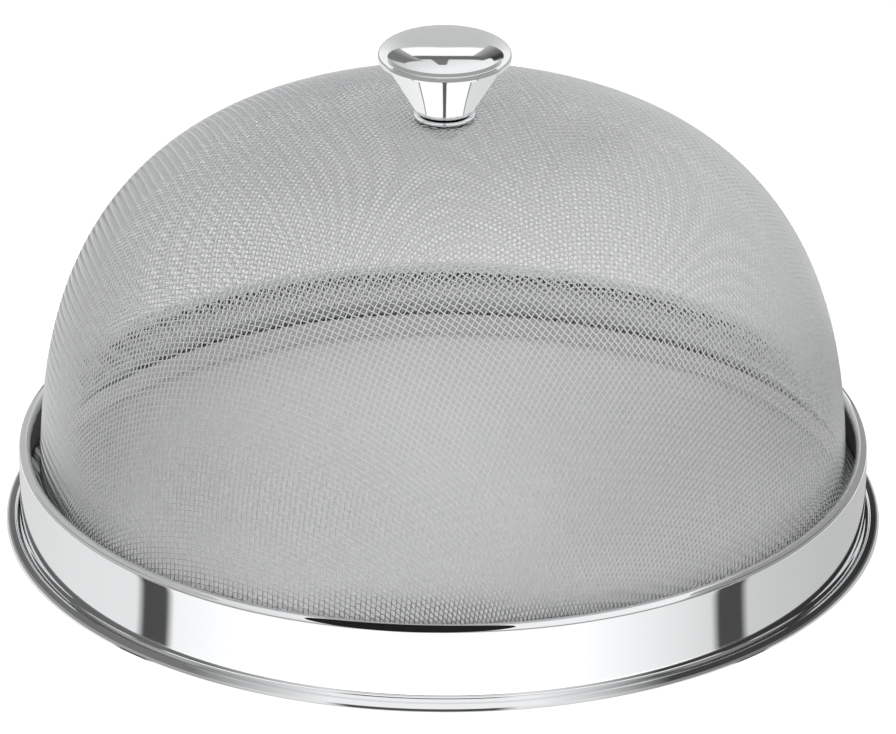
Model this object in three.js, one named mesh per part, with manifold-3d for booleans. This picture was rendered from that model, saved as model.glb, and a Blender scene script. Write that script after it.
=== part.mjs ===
// Stainless steel food dome: woven wire cloth clamped in a rolled sheet rim, with a hollow pressed knob.
// Millimetres, +Z up. The origin is the centre of the circle that the rim stands on.
import * as THREE from 'three';
import { mergeVertices } from 'three/addons/utils/BufferGeometryUtils.js';
import Module from 'manifold-3d';

const wasm = await Module();
wasm.setup();

// Fits
const seatGap = 0.3; // clearance between two pieces that touch
const cutOverrun = 0.5; // how far a cutting tool runs past the face that it cuts
const mergeDistance = 1e-4; // points closer than this are one

// Rim band: one strip of sheet with a bead rolled along each edge
const rimDiameter = 300; // over the lower bead
const rimHeight = 30.5; // table to the top of the upper bead
const bandSheet = 0.6;
const lowerBead = 4.6; // diameter of the bead rolled outwards round the core wire
const upperBead = 4; // diameter of the hollow bead rolled inwards
const flareOut = 1; // how far the strip steps out before it rolls into the lower bead
const flareHeight = 3.4;

// Inner hoop that clamps the cloth's edge
const hoopSheet = 0.6;
const hoopBottom = 2;
const hoopHeight = 8;

// Dome of woven wire cloth
const clothThickness = 0.7; // two wires thick, where they cross
const clothEdgeLift = 0.8; // how far the cloth's edge stops above the hoop's lower edge
const pocketWidth = 2.9; // open gap between the upper bead and the cloth
const skirtRise = 9.5; // height in which the tucked edge bends in to the dome's foot
const skirtLead = 0.6; // how far the tucked edge runs on above the hoop before it bends
const domeHeight = 146; // table to the crown's outer face
const domeFullness = 2.85; // power of the profile's curve: 2 is an ellipse, more has a fuller shoulder

// Plain grid that stands for the fine mesh: bars along the wires, with an opening between four of them
const openingsAcross = 12; // from foot to foot over the crown
const barShare = 0.2; // of the grid's pitch: what the wires cover of the mesh, from side to side
const clothTurnDegrees = -30; // how the wires lie, seen from above
const stretchShare = 0.15; // how much longer than on a wire the way down is, halfway between the wires
const stretchPower = 1.9;
const leanShare = 0.125; // radians by which the wires draw together at the foot
const leanPower = 2.8;
const leastOpeningShare = 0.15; // of a whole opening: a smaller one at the foot stays closed
const leastEdge = 0.5; // the grid's corners nearer than this to a corner of the foot move to it

// Knob: hollow cone and crimped cap
const knobSheet = 0.5;
const knobFootDiameter = 18.6;
const knobConeHeight = 19.2; // foot to the flange under the cap
const footCorner = 1.2; // bend between the cone and its floor
const capDiameter = 44.4;
const capRise = 6; // hem to the top of the cap
const capFullness = 2.4;
const hemHeight = 1.3; // straight wall of the crimped hem
const hemCorner = 0.45;
const lipWidth = 0.9; // turned-in lip that holds the cone's flange

// Knob fastening, from the collar on the cloth down to the screw's head inside the dome
const collarDiameter = 20.4;
const collarThickness = 1.4;
const collarChamfer = 0.4;
const washerDiameter = 20;
const washerThickness = 1.2;
const washerChamfer = 0.3;
const crownMargin = 1.5; // closed crown beyond the wider of collar and washer
const lockDiameter = 8.8;
const lockThickness = 1.2;
const lockSlotWidth = 1.2;
const screwDiameter = 5;
const screwTip = 0.8; // chamfer at the screw's end
const headDiameter = 9.5;
const headHeight = 3.2;
const headRound = 1.8;
const recessSpan = 5;
const recessWidth = 1.1;
const recessDepth = 1.7;
const bossDiameter = 9;
const bossHeight = 10;
const bossChamfer = 0.5;
const screwInset = 1; // how far the screw's end stops below the boss's top

// Facet counts
const rimSides = 52;
const knobSides = 36;
const fastenerSides = 24;
const lowerBeadSides = 12; // a multiple of 4, so that a flat of the bead lies on the table
const upperBeadSides = 8;
const wireSides = 6;
const skirtSteps = 3;
const profileDivisions = 1000; // for measuring along a curve
const capSteps = 5;
const roundSteps = 3;
const flareSteps = 2;

// Places worked out from the sizes above
const rimRadius = rimDiameter / 2;
const lowerBeadCentre = new THREE.Vector2(rimRadius - lowerBead / 2, lowerBead / 2);
const lowerRollRadius = (lowerBead - bandSheet) / 2;
const bandMiddle = lowerBeadCentre.x - lowerRollRadius - flareOut;
const bandOuter = bandMiddle + bandSheet / 2;
const bandInner = bandMiddle - bandSheet / 2;
const upperRollRadius = (upperBead - bandSheet) / 2;
const upperBeadCentre = new THREE.Vector2(bandMiddle - upperRollRadius, rimHeight - upperBead / 2);
const clothEdgeMiddle = bandInner - seatGap - clothThickness / 2;
const hoopMiddle = clothEdgeMiddle - clothThickness / 2 - seatGap - hoopSheet / 2;
const hoopTop = hoopBottom + hoopHeight;
const domeMiddleRadius = bandOuter - upperBead - pocketWidth - clothThickness / 2;
const domeMiddleHeight = domeHeight - clothThickness / 2;
const crownClosed = Math.max(collarDiameter, washerDiameter) / 2 + crownMargin;
const clothUnderside = domeHeight - clothThickness;
const screwRadius = screwDiameter / 2;
const boreRadius = screwRadius + seatGap;
const collarBottom = domeHeight + seatGap;
const knobFoot = collarBottom + collarThickness + seatGap;
const flangeMiddle = knobFoot + knobConeHeight;
const capMiddleRadius = (capDiameter - knobSheet) / 2;
const lipMiddle = flangeMiddle - knobSheet - seatGap;
const hemTop = lipMiddle + hemHeight;
const lipEnd = capMiddleRadius - hemCorner - lipWidth;
const coneTopMiddle = lipEnd - seatGap - knobSheet / 2;
const coneFootMiddle = (knobFootDiameter - knobSheet) / 2;
const flangeEnd = capMiddleRadius - knobSheet / 2 - seatGap;
const bossBottom = knobFoot + knobSheet + seatGap;
const washerTop = clothUnderside - seatGap;
const lockTop = washerTop - washerThickness - seatGap;
const headTop = lockTop - lockThickness - seatGap;
const screwEnd = bossBottom + bossHeight - screwInset;

const point = (radius, height) => new THREE.Vector2(radius, height);

// Points of an arc in the plane of radius and height, from one angle to another in degrees
function arc(centre, radius, fromDegrees, toDegrees, steps) {
  return Array.from({ length: steps + 1 }, (_, i) => {
    const angle = THREE.MathUtils.degToRad(THREE.MathUtils.lerp(fromDegrees, toDegrees, i / steps));
    return point(centre.x + radius * Math.cos(angle), centre.y + radius * Math.sin(angle));
  });
}

// Corners of a rolled bead: a polygon whose flats touch the circle, so that one flat can rest on the table.
// It runs from the middle of the flat at startDegrees through the given number of corners.
function roll(centre, radius, startDegrees, sides, corners) {
  const step = 360 / sides;
  const first = startDegrees + step / 2;
  return arc(centre, radius / Math.cos(Math.PI / sides), first, first + step * (corners - 1), corners - 1);
}

// Smooth step between two places: level at both ends, as a joggle pressed in sheet
class Joggle extends THREE.Curve {
  constructor(from, to) {
    super();
    this.from = from;
    this.to = to;
  }

  getPoint(share, target = new THREE.Vector2()) {
    const blend = (1 - Math.cos(Math.PI * share)) / 2;
    return target.set(
      THREE.MathUtils.lerp(this.from.x, this.to.x, blend),
      THREE.MathUtils.lerp(this.from.y, this.to.y, share),
    );
  }
}

// Quarter of a full oval, from its top down to the angle at which it ends, in radians
class FullOval extends THREE.Curve {
  constructor(radius, height, fullness, endAngle) {
    super();
    this.radius = radius;
    this.height = height;
    this.power = 2 / fullness;
    this.endAngle = endAngle;
    this.arcLengthDivisions = profileDivisions;
  }

  getPoint(share, target = new THREE.Vector2()) {
    const angle = THREE.MathUtils.lerp(Math.PI / 2, this.endAngle, share);
    return target.set(
      this.radius * Math.pow(Math.max(Math.cos(angle), 0), this.power),
      this.height * Math.pow(Math.sin(angle), this.power),
    );
  }
}

// Outline of sheet bent along a line: the line moved half a thickness to each side, mitred at its bends
function sheetOutline(line, thickness) {
  const mitres = line.map((place, i) => {
    const before = line[i - 1] ?? place;
    const after = line[i + 1] ?? place;
    const arriving = new THREE.Vector2().subVectors(place, before);
    const leaving = new THREE.Vector2().subVectors(after, place);
    const incoming = (arriving.length() > 0 ? arriving : leaving).clone().normalize();
    const outgoing = (leaving.length() > 0 ? leaving : arriving).clone().normalize();
    const normalIn = point(-incoming.y, incoming.x);
    const normalOut = point(-outgoing.y, outgoing.x);
    const mitre = new THREE.Vector2().addVectors(normalIn, normalOut).normalize();
    return mitre.multiplyScalar(thickness / 2 / mitre.dot(normalIn));
  });
  const left = line.map((place, i) => place.clone().add(mitres[i]));
  const right = line.map((place, i) => place.clone().sub(mitres[i]));
  return [...left, ...right.reverse()];
}

// Solid of revolution about Z. A closed outline that never meets the axis closes on itself.
function revolve(outline, sides) {
  const points = THREE.ShapeUtils.area(outline) > 0 ? [...outline] : [...outline].reverse();
  const geometry = new THREE.LatheGeometry([...points, points[0]], sides);
  return geometry.rotateX(Math.PI / 2);
}

// Solid of revolution whose profile starts at the axis's bottom and ends at its top, both set on the axis
function turn(profile, sides) {
  const points = profile.map((p, i) => (i % (profile.length - 1) === 0 ? point(0, p.y) : p));
  return new THREE.LatheGeometry(points, sides).rotateX(Math.PI / 2);
}

// Ring of rectangular section with its outer edges chamfered, by no more than a third of its height
function ring(innerRadius, outerRadius, bottom, height, chamfer, sides) {
  const top = bottom + height;
  const bevel = Math.min(chamfer, height / 3);
  return revolve([
    point(innerRadius, bottom),
    point(outerRadius - bevel, bottom),
    point(outerRadius, bottom + bevel),
    point(outerRadius, top - bevel),
    point(outerRadius - bevel, top),
    point(innerRadius, top),
  ], sides);
}

function asManifold(geometry) {
  const bare = geometry.clone();
  bare.deleteAttribute('normal');
  bare.deleteAttribute('uv');
  const merged = mergeVertices(bare);
  return new wasm.Manifold(new wasm.Mesh({
    numProp: 3,
    vertProperties: new Float32Array(merged.attributes.position.array),
    triVerts: new Uint32Array(merged.index.array),
  }));
}

function asGeometry(manifold) {
  const mesh = manifold.getMesh();
  const geometry = new THREE.BufferGeometry();
  geometry.setAttribute('position', new THREE.BufferAttribute(new Float32Array(mesh.vertProperties), 3));
  geometry.setIndex(new THREE.BufferAttribute(new Uint32Array(mesh.triVerts), 1));
  geometry.computeVertexNormals();
  return geometry;
}

function cut(geometry, tools) {
  return asGeometry(tools.reduce((solid, tool) => solid.subtract(asManifold(tool)), asManifold(geometry)));
}

// The strip starts inside the upper bead, runs down the band, steps out and rolls up round the core wire
function rimBand() {
  const upperRoll = roll(upperBeadCentre, upperRollRadius, 0, upperBeadSides, upperBeadSides - 1).reverse();
  const flare = new Joggle(
    point(bandMiddle, lowerBeadCentre.y + flareHeight),
    point(lowerBeadCentre.x - lowerRollRadius, lowerBeadCentre.y),
  ).getPoints(flareSteps);
  const lowerRoll = roll(lowerBeadCentre, lowerRollRadius, 180, lowerBeadSides, lowerBeadSides - 1);
  return revolve(sheetOutline([...upperRoll, ...flare, ...lowerRoll], bandSheet), rimSides);
}

function rimWire() {
  const wireRadius = lowerBead / 2 - bandSheet - seatGap;
  return revolve(arc(lowerBeadCentre, wireRadius, 0, 360, wireSides).slice(0, wireSides), rimSides);
}

function rimHoop() {
  const line = [point(hoopMiddle, hoopBottom), point(hoopMiddle, hoopTop)];
  return revolve(sheetOutline(line, hoopSheet), rimSides);
}

// Radius of the dome's middle surface at a height
function domeRadiusAt(height) {
  const share = Math.pow(height / domeMiddleHeight, domeFullness);
  return domeMiddleRadius * Math.pow(1 - share, 1 / domeFullness);
}

// Middle line of the cloth, out from the crown: the dome, the skirt that bends out at its foot, the tucked
// edge behind the hoop
function clothProfile() {
  const skirtBottom = hoopTop + skirtLead;
  const skirtTop = skirtBottom + skirtRise;
  const footAngle = Math.asin(Math.pow(skirtTop / domeMiddleHeight, domeFullness / 2));
  const tuck = point(clothEdgeMiddle, skirtBottom);
  const profile = new THREE.CurvePath();
  profile.add(new FullOval(domeMiddleRadius, domeMiddleHeight, domeFullness, footAngle));
  profile.add(new Joggle(point(domeRadiusAt(skirtTop), skirtTop), tuck));
  profile.add(new THREE.LineCurve(tuck, point(clothEdgeMiddle, hoopBottom + clothEdgeLift)));
  return profile;
}

// Where a point of the flat cloth lands in the dome's plan, in which the distance from the middle is the way
// down the profile. The wires keep their length, so the cloth shears between the ways that follow a wire.
function drape(x, y, wayToFoot) {
  const flat = point(x, y);
  const angle = flat.angle();
  const depth = flat.length() / wayToFoot;
  const stretch = 1 + stretchShare * Math.pow(depth, stretchPower) * Math.pow(Math.sin(2 * angle), 2);
  const lean = leanShare * Math.pow(depth, leanPower) * Math.sin(4 * angle);
  const turned = lean + THREE.MathUtils.degToRad(clothTurnDegrees);
  return flat.multiplyScalar(stretch).rotateAround(point(0, 0), turned);
}

// The part of a convex shape that lies inside a convex region. Both run anticlockwise.
function clip(shape, region) {
  return region.reduce((kept, start, i) => {
    const side = region[(i + 1) % region.length].clone().sub(start);
    const depths = kept.map((p) => side.cross(p.clone().sub(start)));
    return kept.flatMap((here, k) => {
      const next = (k + 1) % kept.length;
      const crosses = depths[k] * depths[next] < 0;
      const meets = crosses ? [here.clone().lerp(kept[next], depths[k] / (depths[k] - depths[next]))] : [];
      return depths[k] >= 0 ? [here, ...meets] : meets;
    });
  }, shape);
}

// Closed shapes of the grid in the dome's plan, cut off at the ring of points at the foot: the bars and where
// they cross, the crown, and each opening too small to be worth cutting. An opening is four quarters, and the
// bars are divided at its middle, so that they follow the dome.
function gridShapes(foot, wayToFoot) {
  const pitch = 2 * wayToFoot / openingsAcross;
  const halfBar = pitch * barShare / 2;
  const bars = Array.from({ length: openingsAcross + 1 }, (_, i) => (i - openingsAcross / 2) * pitch);
  const linesBy = (bar) => [bar - halfBar, bar + halfBar, bar + pitch / 2];
  const lines = bars.flatMap(linesBy).slice(0, -1);
  const isBar = (i) => i % 3 === 0;
  const blocks = lines.slice(1).map((_, i) => lines.slice(1).map((__, j) => {
    const corners = [[i, j], [i + 1, j], [i + 1, j + 1], [i, j + 1]];
    const whole = corners.map(([a, b]) => drape(lines[a], lines[b], wayToFoot));
    const cutOff = clip(whole, foot).map((p) => foot.find((corner) => corner.distanceTo(p) < leastEdge) ?? p);
    const shape = cutOff.filter((p, k) => p.distanceTo(cutOff.at(k - 1)) > mergeDistance);
    const area = shape.length > 2 ? THREE.ShapeUtils.area(shape) : 0;
    return { shape, area, nearest: Math.min(...whole.map((p) => p.length())) };
  }));
  const openArea = (i, j) => {
    const [a, b] = [i - (i + 2) % 3, j - (j + 2) % 3];
    return blocks[a][b].area + blocks[a + 1][b].area + blocks[a + 1][b + 1].area + blocks[a][b + 1].area;
  };
  const leastArea = leastOpeningShare * Math.pow(pitch - 2 * halfBar, 2);
  const isClosed = (i, j) => {
    const { area, nearest } = blocks[i][j];
    return area > 0 && (isBar(i) || isBar(j) || nearest < crownClosed || openArea(i, j) < leastArea);
  };
  return blocks.flatMap((row, i) => row.filter((_, j) => isClosed(i, j)).map(({ shape }) => shape));
}

// Triangles of a convex shape, fanned out from its corner nearest the crown
function fan(shape) {
  const first = shape.reduce((best, p, i) => (p.length() < shape[best].length() ? i : best), 0);
  const turned = [...shape.slice(first), ...shape.slice(0, first)];
  return turned.slice(2).map((p, i) => [turned[0], turned[i + 1], p]);
}

// Triangles between one side of the foot, with the grid's corners that lie on it, and a side of the row below
function joinSide(start, end, below, nextBelow, gridCorners) {
  const side = end.clone().sub(start);
  const shareOf = (p) => p.clone().sub(start).dot(side) / side.lengthSq();
  const offSide = (p) => Math.abs(p.clone().sub(start).cross(side)) / side.length();
  const onSide = gridCorners.filter((p) => shareOf(p) > 0 && shareOf(p) < 1 && offSide(p) < mergeDistance);
  const sorted = [start, ...onSide.sort((p, q) => shareOf(p) - shareOf(q)), end];
  const upper = sorted.filter((p, i) => i === 0 || p.distanceTo(sorted[i - 1]) > mergeDistance);
  return [...upper.slice(1).map((p, i) => [below, p, upper[i]]), [below, nextBelow, upper.at(-1)]];
}

// Closed solid from flat triangles: an outer and an inner layer, and a wall along each edge with no neighbour
function thicken(triangles, outer, inner) {
  const name = (p) => `${p.x.toFixed(5)} ${p.y.toFixed(5)} `;
  const edges = triangles.flatMap((corners) => corners.map((p, i) => [p, corners[(i + 1) % 3]]));
  const named = new Set(edges.map(([p, q]) => name(p) + name(q)));
  const open = edges.filter(([p, q]) => !named.has(name(q) + name(p)));
  const faces = [
    ...triangles.map(([p, q, r]) => [outer(p), outer(q), outer(r)]),
    ...triangles.map(([p, q, r]) => [inner(p), inner(r), inner(q)]),
    ...open.map(([p, q]) => [outer(q), outer(p), inner(p)]),
    ...open.map(([p, q]) => [outer(q), inner(p), inner(q)]),
  ];
  return new THREE.BufferGeometry().setFromPoints(faces.flat());
}

// The cloth's edge stands behind the hoop, bends in across the pocket and rises into the dome
function meshDome() {
  const profile = clothProfile();
  const [dome, skirt] = profile.curves;
  const wayToFoot = dome.getLength();
  const wayToEdge = profile.getLength();
  const step = skirt.getLength() / skirtSteps;
  const ways = Array.from({ length: skirtSteps + 1 }, (_, i) => wayToFoot + i * step);
  const rows = [...ways, wayToEdge].map((way) => Array.from({ length: rimSides }, (_, k) => (
    point(way, 0).rotateAround(point(0, 0), 2 * Math.PI * k / rimSides)
  )));
  const [foot, firstRow, ...lowerRows] = rows;
  const after = (k) => (k + 1) % rimSides;
  const shapes = gridShapes(foot, wayToFoot);
  const triangles = [
    ...shapes.flatMap(fan),
    ...foot.flatMap((p, k) => joinSide(p, foot[after(k)], firstRow[k], firstRow[after(k)], shapes.flat())),
    ...lowerRows.flatMap((row, i) => row.flatMap((p, k) => [
      [rows[i + 1][k], p, row[after(k)]],
      [rows[i + 1][k], row[after(k)], rows[i + 1][after(k)]],
    ])),
  ];

  const layer = (lift) => (p) => {
    const share = Math.min(p.length() / wayToEdge, 1);
    const middle = profile.getPoint(share);
    const tangent = profile.getTangent(share);
    const radius = middle.x - lift * tangent.y;
    const angle = p.angle();
    return new THREE.Vector3(radius * Math.cos(angle), radius * Math.sin(angle), middle.y + lift * tangent.x);
  };
  const cloth = thicken(triangles, layer(clothThickness / 2), layer(-clothThickness / 2));
  const bore = new THREE.CylinderGeometry(boreRadius, boreRadius, clothThickness + 2 * cutOverrun, knobSides);
  return cut(cloth, [bore.rotateX(Math.PI / 2).translate(0, 0, domeMiddleHeight)]);
}

function knobCollar() {
  const outerRadius = collarDiameter / 2;
  return ring(boreRadius, outerRadius, collarBottom, collarThickness, collarChamfer, knobSides);
}

// Floor with the screw's hole, cone, and a flange turned out under the cap
function knobBody() {
  const floor = knobFoot + knobSheet / 2;
  const rise = point(coneTopMiddle - coneFootMiddle, flangeMiddle - floor).normalize();
  const line = [
    point(boreRadius, floor),
    point(coneFootMiddle - footCorner, floor),
    point(coneFootMiddle + footCorner * rise.x, floor + footCorner * rise.y),
    point(coneTopMiddle, flangeMiddle - knobSheet),
    point(coneTopMiddle + knobSheet, flangeMiddle),
    point(flangeEnd, flangeMiddle),
  ];
  return revolve(sheetOutline(line, knobSheet), knobSides);
}

// Pressed cap: a full oval top, a short straight hem and a lip turned in under the cone's flange
function knobCap() {
  const oval = new FullOval(capMiddleRadius, capRise - knobSheet / 2, capFullness, 0).getPoints(capSteps);
  const top = oval.map((p) => point(p.x, hemTop + p.y));
  const hemCentre = point(capMiddleRadius - hemCorner, lipMiddle + hemCorner);
  const line = [...top, ...arc(hemCentre, hemCorner, 0, -90, roundSteps), point(lipEnd, lipMiddle)];
  const outline = sheetOutline(line, knobSheet);
  const half = outline.length / 2;
  const outside = outline.slice(0, half).reverse();
  const inside = outline.slice(half).reverse();
  return turn([...inside, ...outside], knobSides);
}

function knobBoss() {
  return ring(boreRadius, bossDiameter / 2, bossBottom, bossHeight, bossChamfer, fastenerSides);
}

function innerWasher() {
  const outerRadius = washerDiameter / 2;
  const bottom = washerTop - washerThickness;
  return ring(boreRadius, outerRadius, bottom, washerThickness, washerChamfer, knobSides);
}

// Split ring: two arcs that stop short of each other by the slot
function lockWasher() {
  const outerRadius = lockDiameter / 2;
  const halfSlot = Math.asin(lockSlotWidth / 2 / outerRadius);
  const halfSlotInside = Math.asin(lockSlotWidth / 2 / boreRadius);
  const shape = new THREE.Shape();
  shape.absarc(0, 0, outerRadius, halfSlot, 2 * Math.PI - halfSlot, false);
  shape.absarc(0, 0, boreRadius, 2 * Math.PI - halfSlotInside, halfSlotInside, true);
  shape.closePath();
  const settings = { depth: lockThickness, bevelEnabled: false, curveSegments: fastenerSides };
  return new THREE.ExtrudeGeometry(shape, settings).translate(0, 0, lockTop - lockThickness);
}

// Pan-head screw, head down, with a cross recess cut in its head
function knobScrew() {
  const headBottom = headTop - headHeight;
  const headRadius = headDiameter / 2;
  const roundCentre = point(headRadius - headRound, headBottom + headRound);
  const blank = turn([
    point(0, headBottom),
    ...arc(roundCentre, headRound, -90, 0, roundSteps),
    point(headRadius, headTop),
    point(screwRadius, headTop),
    point(screwRadius, screwEnd - screwTip),
    point(screwRadius - screwTip, screwEnd),
    point(0, screwEnd),
  ], fastenerSides);
  const depth = recessDepth + cutOverrun;
  const centre = headBottom + recessDepth - depth / 2;
  const arms = [
    new THREE.BoxGeometry(recessSpan, recessWidth, depth).translate(0, 0, centre),
    new THREE.BoxGeometry(recessWidth, recessSpan, depth).translate(0, 0, centre),
  ];
  return cut(blank, arms);
}

const wireSteel = { color: 0xb4b5b6, roughness: 0.35, metalness: 1 };
const mirrorSteel = { color: 0xe2e3e4, roughness: 0.08, metalness: 1 };
const millSteel = { color: 0xc4c5c7, roughness: 0.3, metalness: 1 };
const zincSteel = { color: 0xbfc2c6, roughness: 0.4, metalness: 1 };

const foodDome = new THREE.Group();

function add(name, geometry, finish) {
  const mesh = new THREE.Mesh(geometry, new THREE.MeshStandardMaterial(finish));
  mesh.name = name;
  foodDome.add(mesh);
}

add('mesh_dome', meshDome(), wireSteel);
add('rim_band', rimBand(), mirrorSteel);
add('rim_wire', rimWire(), millSteel);
add('rim_hoop', rimHoop(), millSteel);
add('knob_collar', knobCollar(), mirrorSteel);
add('knob_body', knobBody(), mirrorSteel);
add('knob_cap', knobCap(), mirrorSteel);
add('knob_boss', knobBoss(), millSteel);
add('inner_washer', innerWasher(), millSteel);
add('lock_washer', lockWasher(), zincSteel);
add('knob_screw', knobScrew(), zincSteel);

export default foodDome;
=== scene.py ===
# %% [markdown]
# # A stainless steel food dome
#
# A food dome is a cover of woven wire cloth that stands over a plate. Its cloth is drawn
# into a dome, its edge is clamped inside a rolled steel band, and a hollow knob is screwed
# through the crown. The solids of the part give every main size. This script dresses them:
# it weaves the cloth wire by wire, rolls the band and the knob from fine profiles, and
# lights them as a small studio would.
#
# The frame holds the solids. Every length below is in millimetres, and one number, MM,
# turns it to Blender's metres.

import bpy
import numpy as np
from mathutils import Matrix, Vector


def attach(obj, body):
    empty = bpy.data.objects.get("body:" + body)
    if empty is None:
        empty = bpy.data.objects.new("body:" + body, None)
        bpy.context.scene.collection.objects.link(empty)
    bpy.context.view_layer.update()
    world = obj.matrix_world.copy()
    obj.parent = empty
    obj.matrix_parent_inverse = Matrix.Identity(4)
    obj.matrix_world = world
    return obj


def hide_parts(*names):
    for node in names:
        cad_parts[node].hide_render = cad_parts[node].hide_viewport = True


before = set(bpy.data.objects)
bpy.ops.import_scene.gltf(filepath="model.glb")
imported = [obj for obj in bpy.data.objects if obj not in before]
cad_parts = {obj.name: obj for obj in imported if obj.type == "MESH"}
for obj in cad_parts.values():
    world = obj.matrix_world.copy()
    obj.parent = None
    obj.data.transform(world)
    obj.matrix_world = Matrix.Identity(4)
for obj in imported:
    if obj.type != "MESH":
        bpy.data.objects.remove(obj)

MM = 0.001
TURN = 2 * np.pi
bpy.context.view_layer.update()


# %% [markdown]
# ## Helpers for surfaces
#
# Every sheet metal piece here is round about the upright axis. A profile of radii and
# heights is carried round in one array step, which gives a grid of points. The grid also
# gives the piece a flat map (UV): one way round, the other along the profile, so that
# polishing lines can follow the metal.

# %% Surfaces of revolution
def set_mesh(name, places, corners, counts, flat_map=None, sharp_degrees=None):
    """A mesh object from whole arrays: places in mm (n by 3), every face's corners in one
    row, how many corners each face has, and a flat map with one pair for each corner.
    Places that no face uses are left out."""
    used, corners = np.unique(corners, return_inverse=True)
    places = places[used]
    mesh = bpy.data.meshes.new(name)
    mesh.vertices.add(len(places))
    mesh.vertices.foreach_set("co", (places * MM).astype(np.float32).ravel())
    mesh.loops.add(len(corners))
    mesh.loops.foreach_set("vertex_index", corners.astype(np.int32))
    mesh.polygons.add(len(counts))
    mesh.polygons.foreach_set("loop_start", (np.cumsum(counts) - counts).astype(np.int32))
    mesh.polygons.foreach_set("use_smooth", np.ones(len(counts), bool))
    if flat_map is not None:
        layer = mesh.uv_layers.new(name="OFBake")
        layer.uv.foreach_set("vector", flat_map.astype(np.float32).ravel())
    mesh.update(calc_edges=True)
    mesh.validate()
    if sharp_degrees is not None:
        mesh.set_sharp_from_angle(angle=np.radians(sharp_degrees))
    piece = bpy.data.objects.new(name, mesh)
    bpy.context.scene.collection.objects.link(piece)
    return piece


def revolve(name, profile, sides, shift=None, sharp_degrees=40):
    """A closed profile carried round the axis: x = r cos a, y = r sin a, z = z for each
    angle a and each profile point (r, z). The profile runs anticlockwise in the plane of
    radius and height, so that faces point outwards. A point at radius zero is a pole: it
    stays one corner, and the faces round it are triangles. shift(a, r, z) may add a small
    radial offset to every point of the grid."""
    angle = np.arange(sides) / sides * TURN
    a, r = np.meshgrid(angle, profile[:, 0], indexing="ij")
    z = np.broadcast_to(profile[:, 1], a.shape)
    if shift is not None:
        r = r + shift(a, r, z)
    places = np.stack([r * np.cos(a), r * np.sin(a), z], -1).reshape(-1, 3)
    count = len(profile)
    i, k = np.meshgrid(np.arange(sides), np.arange(count), indexing="ij")
    after, beside = (i + 1) % sides, (k + 1) % count
    pole = profile[:, 0] == 0
    pole_here, pole_beside = pole[k], pole[beside]
    quads = np.stack([
        np.where(pole_here, k, i * count + k),
        after * count + k,
        after * count + beside,
        np.where(pole_beside, beside, i * count + beside),
    ], -1).reshape(-1, 4)
    neither = ~(pole_here & pole_beside)
    kept = np.stack([neither, ~pole_here, ~pole_beside, neither], -1).reshape(-1, 4)
    steps = np.linalg.norm(np.roll(profile, -1, 0) - profile, axis=1)
    along = np.r_[0, np.cumsum(steps)] / steps.sum()
    u0, v0, v1 = i / sides, along[k], along[k + 1]
    u1 = (i + 1) / sides
    flat_map = np.stack([u0, v0, u1, v0, u1, v1, u0, v1], -1).reshape(-1, 4, 2)
    counts = kept.sum(1)
    return set_mesh(name, places, quads[kept], counts[counts > 0], flat_map[kept], sharp_degrees)


print("surfaces are carried round the axis, and one turn is", round(TURN, 4), "radians")


# %% [markdown]
# ## Helpers for profiles
#
# A tinsmith bends flat strip along a line. So a profile is drawn the same way: first the
# line along the middle of the sheet, from arcs and straight runs, then the two faces of
# the sheet to each side of it. Drawing both faces by hand would be slower, and the wall
# would not keep its thickness in the bends.

# %% Bent sheet
def arc(centre, radius, from_degrees, to_degrees, steps):
    """Points of a circle in the plane of radius and height: centre + radius (cos, sin)."""
    a = np.radians(np.linspace(from_degrees, to_degrees, steps + 1))
    return np.stack([centre[0] + radius * np.cos(a), centre[1] + radius * np.sin(a)], -1)


def sheet(line, thickness, rounding=3, on_axis=False):
    """The outline of sheet bent along a line: the line moved half a thickness along its
    normal to each side, with both ends rounded off, run anticlockwise. A line that starts
    on the axis stays open there, and its first points are set on the axis."""
    step = np.gradient(line, axis=0)
    tangent = step / np.linalg.norm(step, axis=1, keepdims=True)
    normal = np.stack([-tangent[:, 1], tangent[:, 0]], -1)
    turn = np.linspace(0, np.pi, rounding + 2)[1:-1, None]
    half = thickness / 2
    end = line[-1] + half * (np.cos(turn) * -normal[-1] + np.sin(turn) * tangent[-1])
    start = line[0] + half * (np.cos(turn) * normal[0] - np.sin(turn) * tangent[0])
    if on_axis:
        start = start[:0]
    outline = np.concatenate([line - half * normal, end, (line + half * normal)[::-1], start])
    if on_axis:
        outline[[0, -1], 0] = 0
    following = np.roll(outline, -1, 0)
    area = (outline[:, 0] * following[:, 1] - following[:, 0] * outline[:, 1]).sum()
    return outline if area > 0 else outline[::-1]


def resample(line, spacing):
    """The same line with points evenly spaced along it."""
    along = np.r_[0, np.cumsum(np.linalg.norm(np.diff(line, axis=0), axis=1))]
    even = np.linspace(0, along[-1], int(np.ceil(along[-1] / spacing)) + 1)
    return np.stack([np.interp(even, along, line[:, 0]), np.interp(even, along, line[:, 1])], -1)


print("points of a sheet bent to a quarter circle:", len(sheet(arc((0, 0), 1, 0, 90, 8), 0.1)))


# %% [markdown]
# ## Finishes
#
# Stainless steel shows mostly what stands round it, so a finish here is a metal's tint and
# the fine marks that its making left. Colours are written as sRGB hex values, as a paint
# chart gives them, and one function turns them to the linear values that Blender mixes.

# %% Helpers for materials
def linear(hex_colour):
    """sRGB hex to linear: c / 12.92 below 0.04045, else ((c + 0.055) / 1.055) to the 2.4."""
    c = np.array([int(hex_colour[i:i + 2], 16) for i in (1, 3, 5)]) / 255
    return (*np.where(c <= 0.04045, c / 12.92, ((c + 0.055) / 1.055) ** 2.4).tolist(), 1.0)


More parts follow.
